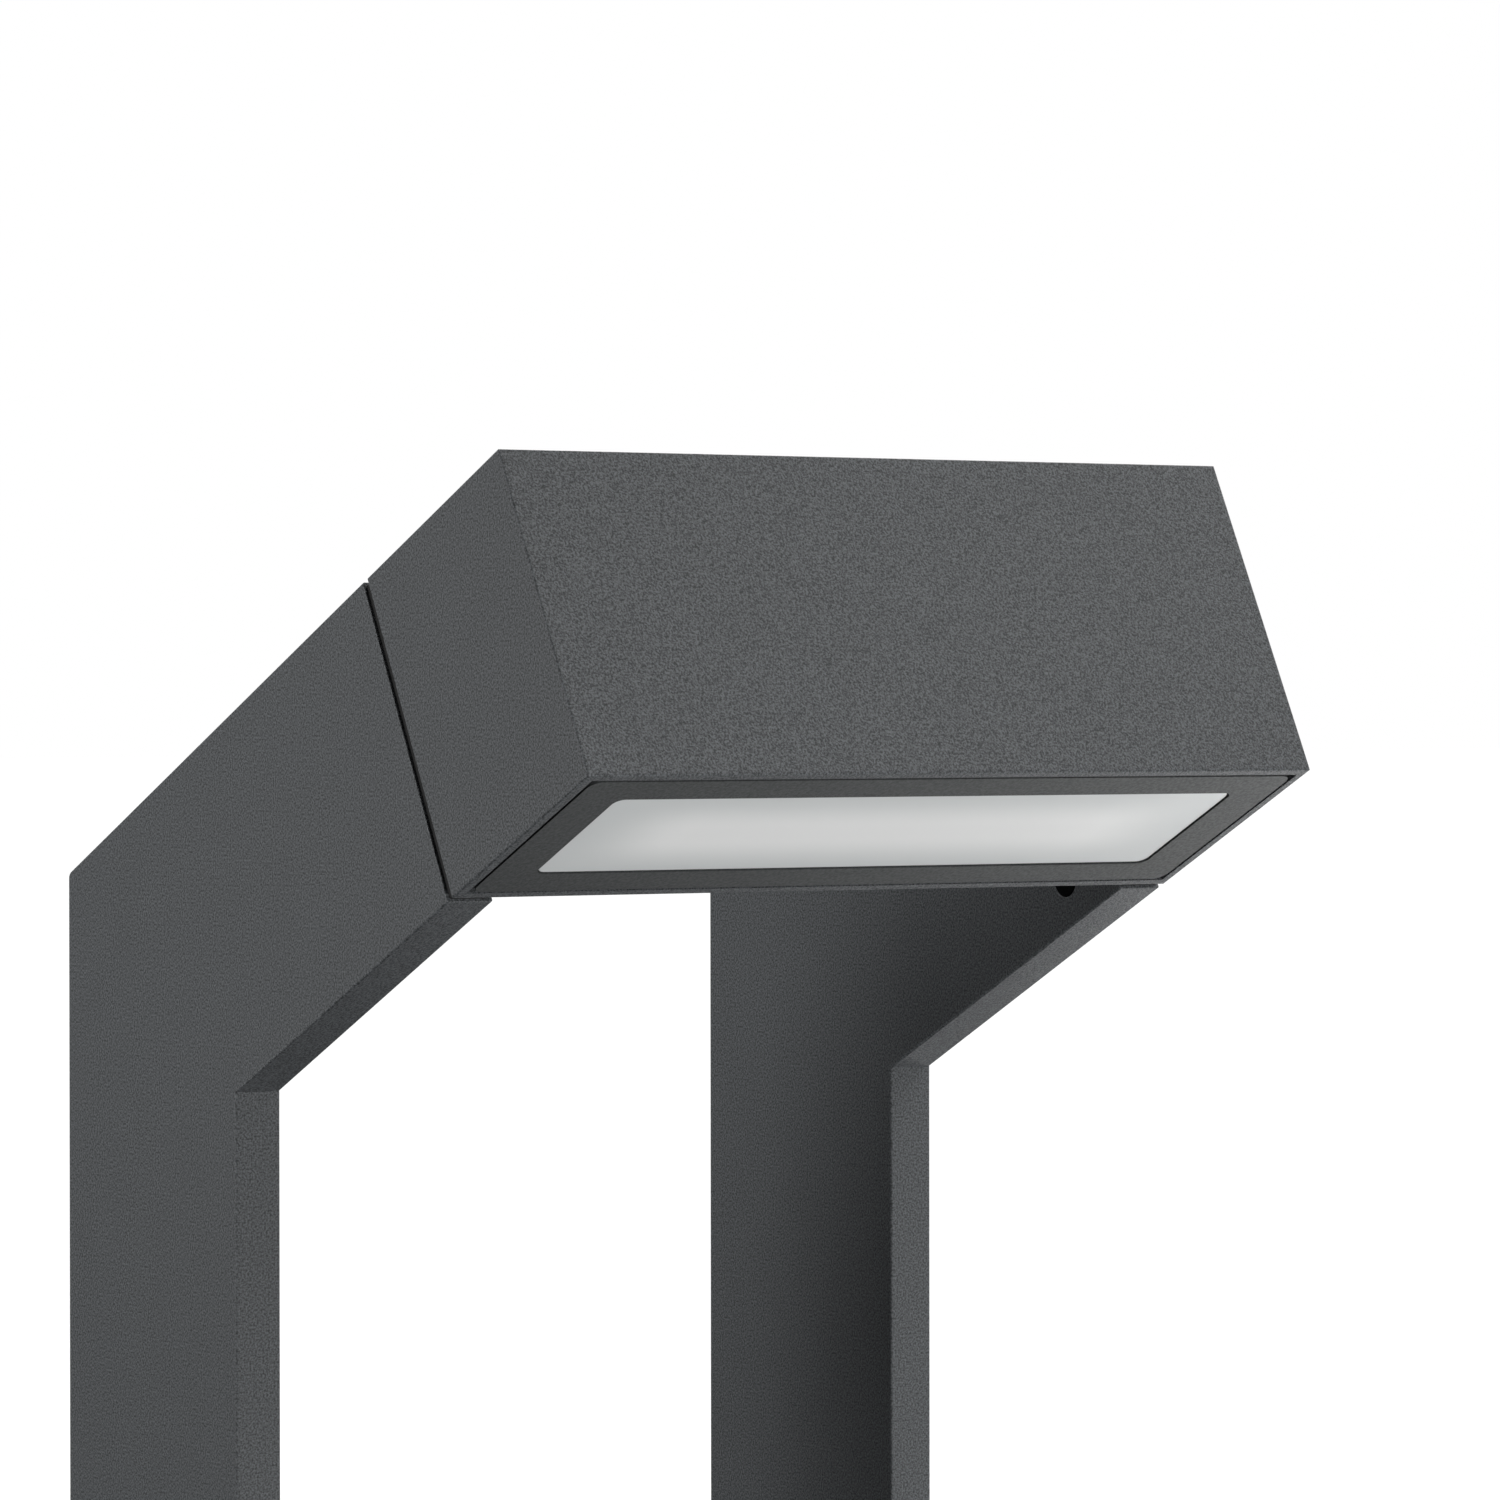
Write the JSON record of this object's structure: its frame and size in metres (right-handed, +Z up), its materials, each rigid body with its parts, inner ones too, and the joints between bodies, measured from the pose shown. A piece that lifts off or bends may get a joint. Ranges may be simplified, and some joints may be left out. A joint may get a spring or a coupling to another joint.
{
  "type": "bollard light",
  "caption": "Low two-legged path light: a box head with a frosted diffuser in its underside, held forward on bent hollow legs over a flat foot.",
  "frame": {"origin": "centre of the anchor hole pattern, on the ground plane under the mounting plate", "axes": "+Z up; the head reaches out towards -Y; +X is the light's left-to-right direction seen from the front"},
  "size_m": [0.2, 0.2342, 0.5998],
  "materials": {
    "anthracite_coat": "matte, fine-textured powder coat on aluminium",
    "frame_coat": "matte, smooth powder coat on aluminium",
    "opal_glass": "matte opal",
    "black_rubber": "matte",
    "white_silicone": "matte",
    "mill_aluminium": "satin",
    "zinc_steel": "satin, zinc plated",
    "black_steel": "satin, black oxide",
    "galvanised_steel": "matte, hot-dip galvanised",
    "spring_steel": "satin",
    "white_plastic": "matte",
    "dark_plastic": "matte",
    "terminal_plastic": "satin",
    "board_white": "matte, solder mask on aluminium",
    "led_phosphor": "satin",
    "brass_metal": "satin",
    "cable_jacket": "matte",
    "core_insulation": "satin",
    "lead_insulation": "satin",
    "earth_insulation": "satin"
  },
  "bodies": {
    "root": {"left_leg": "anthracite_coat", "right_leg": "anthracite_coat", "head_tenon_left_top": "mill_aluminium", "head_tenon_left_bottom": "mill_aluminium", "head_tenon_right_top": "mill_aluminium", "head_tenon_right_bottom": "mill_aluminium", "foot_tenon_left_front": "mill_aluminium", "foot_tenon_left_rear": "mill_aluminium", "foot_tenon_right_front": "mill_aluminium", "foot_tenon_right_rear": "mill_aluminium", "head_tenon_bolts": "zinc_steel", "foot_tenon_bolts": "zinc_steel", "head_lock_screws": "black_steel", "foot_lock_screws": "black_steel", "head_seam_gasket_left": "black_rubber", "head_seam_gasket_right": "black_rubber", "foot_seam_gasket_left": "black_rubber", "foot_seam_gasket_right": "black_rubber", "head_housing": "anthracite_coat", "cover_frame": "frame_coat", "frame_gasket": "black_rubber", "frame_screws": "zinc_steel", "diffuser": "opal_glass", "diffuser_gasket": "white_silicone", "diffuser_clip_left": "spring_steel", "diffuser_clip_right": "spring_steel", "clip_screws": "zinc_steel", "reflector": "white_plastic", "led_board": "board_white", "leds": "led_phosphor", "led_carrier": "mill_aluminium", "board_screws": "zinc_steel", "carrier_screws": "zinc_steel", "driver": "white_plastic", "driver_screws": "zinc_steel", "driver_leads": "lead_insulation", "earth_lug": "brass_metal", "earth_screw": "brass_metal", "earth_wire": "earth_insulation", "internal_cable": "cable_jacket", "foot_housing": "anthracite_coat", "mounting_plate": "galvanised_steel", "cable_grommet": "black_rubber", "foot_screws": "black_steel", "junction_box": "dark_plastic", "junction_box_seal": "black_rubber", "junction_box_lid": "dark_plastic", "lid_screws": "zinc_steel", "box_screws": "zinc_steel", "outlet_gland": "dark_plastic", "inlet_gland": "dark_plastic", "gland_locknuts": "dark_plastic", "terminal_block": "terminal_plastic", "terminal_screws": "brass_metal", "cable_cores": "core_insulation"}
  },
  "joints": []
}
